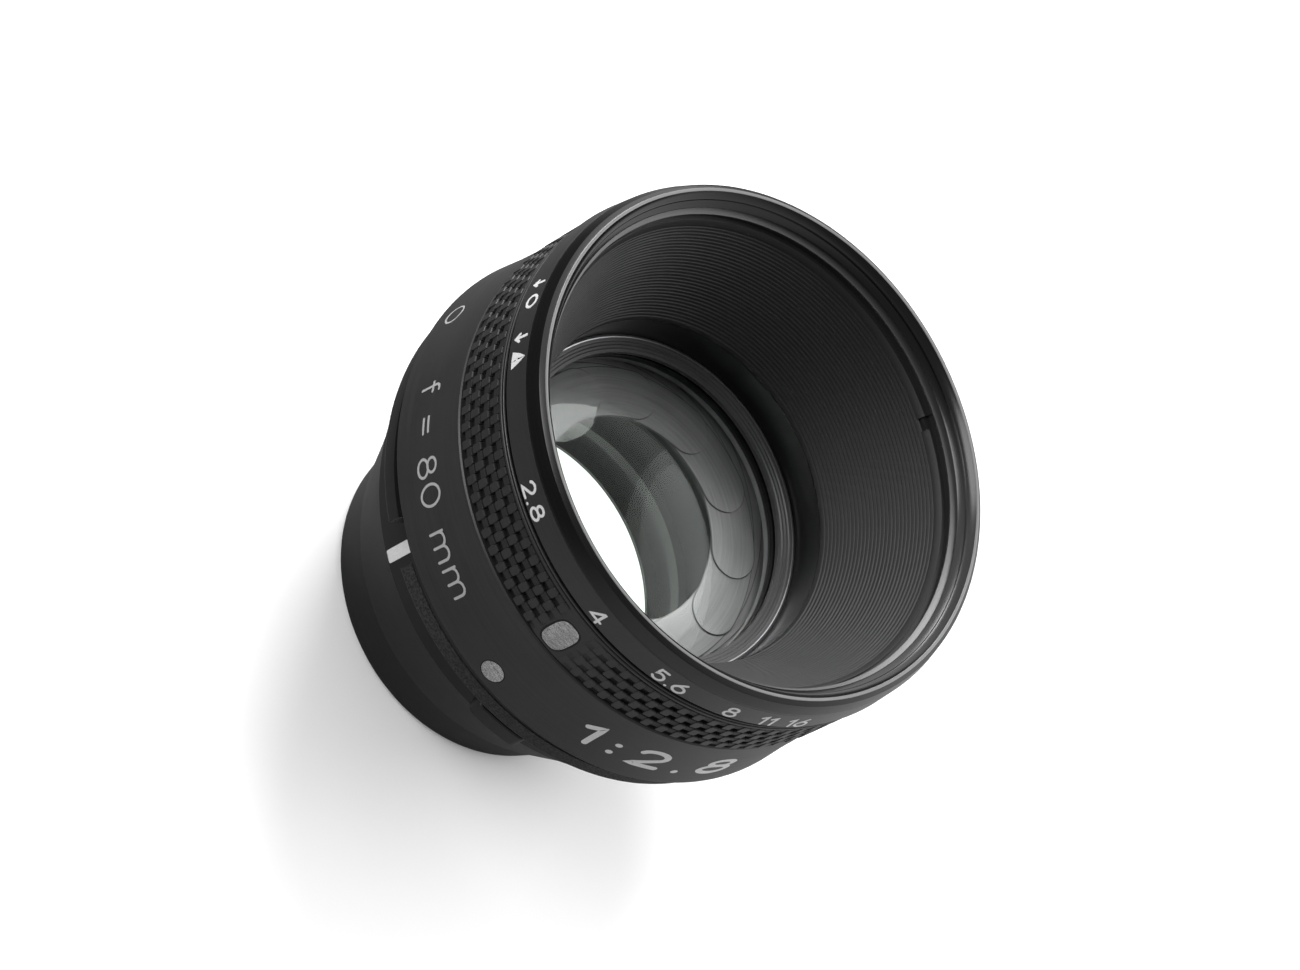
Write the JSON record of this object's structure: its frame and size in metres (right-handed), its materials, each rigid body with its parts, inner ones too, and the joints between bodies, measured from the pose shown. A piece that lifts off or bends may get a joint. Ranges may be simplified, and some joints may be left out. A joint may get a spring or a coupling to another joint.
{
  "type": "camera lens",
  "caption": "Compact prime lens barrel with a front aperture ring, ridged hood, checkered grip band, coupled iris blades and a three-lug bayonet rear.",
  "frame": {"origin": "on the optical axis in the plane of the rear rim", "axes": "+Z along the optical axis towards the front of the lens; -Y towards the index dot"},
  "size_m": [0.0518, 0.0518, 0.0462],
  "materials": {
    "anodised_black": "black anodised, satin",
    "anodised_satin": "black anodised, finely turned",
    "matte_black": "matte black",
    "gloss_black": "gloss black",
    "matte_strip": "matte, fine grain",
    "bare_edge": "bright turned edge",
    "coated_glass": "clear, anti-reflection coated",
    "blade_grey": "matte grey",
    "silver_inlay": "frosted silver",
    "white_paint": "matte white",
    "screw_steel": "bright"
  },
  "bodies": {
    "housing": {"barrel_shell": "anodised_black", "center_tube": "anodised_black", "flange_ring": "anodised_black", "flange_strip": "matte_strip", "bayonet_lug_1": "anodised_black", "bayonet_lug_2": "anodised_black", "bayonet_lug_3": "anodised_black", "band_sleeve": "anodised_satin", "grip_sleeve": "anodised_black", "edge_ring": "bare_edge", "hood_cone": "matte_black", "front_cell": "gloss_black", "front_retaining_ring": "bare_edge", "front_element": "coated_glass", "iris_base": "blade_grey", "iris_cover": "matte_black", "rear_retaining_ring": "matte_black", "doublet_front": "coated_glass", "doublet_rear": "coated_glass", "rear_spacer": "matte_black", "rear_element": "coated_glass", "index_dot": "silver_inlay", "mount_dot": "silver_inlay", "white_index": "white_paint", "guide_screws": "screw_steel", "cell_screws": "screw_steel"},
    "aperture_ring": {"aperture_ring": "anodised_satin", "iris_cam_ring": "blade_grey"},
    "blade_01": {"iris_blade_01": "blade_grey"},
    "blade_02": {"iris_blade_02": "blade_grey"},
    "blade_03": {"iris_blade_03": "blade_grey"},
    "blade_04": {"iris_blade_04": "blade_grey"},
    "blade_05": {"iris_blade_05": "blade_grey"},
    "blade_06": {"iris_blade_06": "blade_grey"},
    "blade_07": {"iris_blade_07": "blade_grey"},
    "blade_08": {"iris_blade_08": "blade_grey"},
    "blade_09": {"iris_blade_09": "blade_grey"},
    "blade_10": {"iris_blade_10": "blade_grey"},
    "blade_11": {"iris_blade_11": "blade_grey"},
    "blade_12": {"iris_blade_12": "blade_grey"}
  },
  "joints": [
    {"name": "aperture_turn", "type": "hinge", "parent": "housing", "child": "aperture_ring", "pos_m": [0, 0, 0.0418], "axis": [0, 0, 1], "range_deg": [-52.5, 26.4]},
    {"name": "blade_01_swing", "type": "hinge", "parent": "housing", "child": "blade_01", "pos_m": [0.019, 0, 0.0224], "axis": [0, 0, 1], "range_deg": [-22.34, 11.24]},
    {"name": "blade_02_swing", "type": "hinge", "parent": "housing", "child": "blade_02", "pos_m": [0.01645, 0.0095, 0.0224], "axis": [0, 0, 1], "range_deg": [-22.34, 11.24]},
    {"name": "blade_03_swing", "type": "hinge", "parent": "housing", "child": "blade_03", "pos_m": [0.0095, 0.01645, 0.0224], "axis": [0, 0, 1], "range_deg": [-22.34, 11.24]},
    {"name": "blade_04_swing", "type": "hinge", "parent": "housing", "child": "blade_04", "pos_m": [0, 0.019, 0.0224], "axis": [0, 0, 1], "range_deg": [-22.34, 11.24]},
    {"name": "blade_05_swing", "type": "hinge", "parent": "housing", "child": "blade_05", "pos_m": [-0.0095, 0.01645, 0.0224], "axis": [0, 0, 1], "range_deg": [-22.34, 11.24]},
    {"name": "blade_06_swing", "type": "hinge", "parent": "housing", "child": "blade_06", "pos_m": [-0.01645, 0.0095, 0.0224], "axis": [0, 0, 1], "range_deg": [-22.34, 11.24]},
    {"name": "blade_07_swing", "type": "hinge", "parent": "housing", "child": "blade_07", "pos_m": [-0.019, 0, 0.0224], "axis": [0, 0, 1], "range_deg": [-22.34, 11.24]},
    {"name": "blade_08_swing", "type": "hinge", "parent": "housing", "child": "blade_08", "pos_m": [-0.01645, -0.0095, 0.0224], "axis": [0, 0, 1], "range_deg": [-22.34, 11.24]},
    {"name": "blade_09_swing", "type": "hinge", "parent": "housing", "child": "blade_09", "pos_m": [-0.0095, -0.01645, 0.0224], "axis": [0, 0, 1], "range_deg": [-22.34, 11.24]},
    {"name": "blade_10_swing", "type": "hinge", "parent": "housing", "child": "blade_10", "pos_m": [0, -0.019, 0.0224], "axis": [0, 0, 1], "range_deg": [-22.34, 11.24]},
    {"name": "blade_11_swing", "type": "hinge", "parent": "housing", "child": "blade_11", "pos_m": [0.0095, -0.01645, 0.0224], "axis": [0, 0, 1], "range_deg": [-22.34, 11.24]},
    {"name": "blade_12_swing", "type": "hinge", "parent": "housing", "child": "blade_12", "pos_m": [0.01645, -0.0095, 0.0224], "axis": [0, 0, 1], "range_deg": [-22.34, 11.24]}
  ],
  "couplings": [
    {"joint": "blade_01_swing", "follows": "aperture_turn", "ratio": 0.4254},
    {"joint": "blade_02_swing", "follows": "aperture_turn", "ratio": 0.4254},
    {"joint": "blade_03_swing", "follows": "aperture_turn", "ratio": 0.4254},
    {"joint": "blade_04_swing", "follows": "aperture_turn", "ratio": 0.4254},
    {"joint": "blade_05_swing", "follows": "aperture_turn", "ratio": 0.4254},
    {"joint": "blade_06_swing", "follows": "aperture_turn", "ratio": 0.4254},
    {"joint": "blade_07_swing", "follows": "aperture_turn", "ratio": 0.4254},
    {"joint": "blade_08_swing", "follows": "aperture_turn", "ratio": 0.4254},
    {"joint": "blade_09_swing", "follows": "aperture_turn", "ratio": 0.4254},
    {"joint": "blade_10_swing", "follows": "aperture_turn", "ratio": 0.4254},
    {"joint": "blade_11_swing", "follows": "aperture_turn", "ratio": 0.4254},
    {"joint": "blade_12_swing", "follows": "aperture_turn", "ratio": 0.4254}
  ]
}
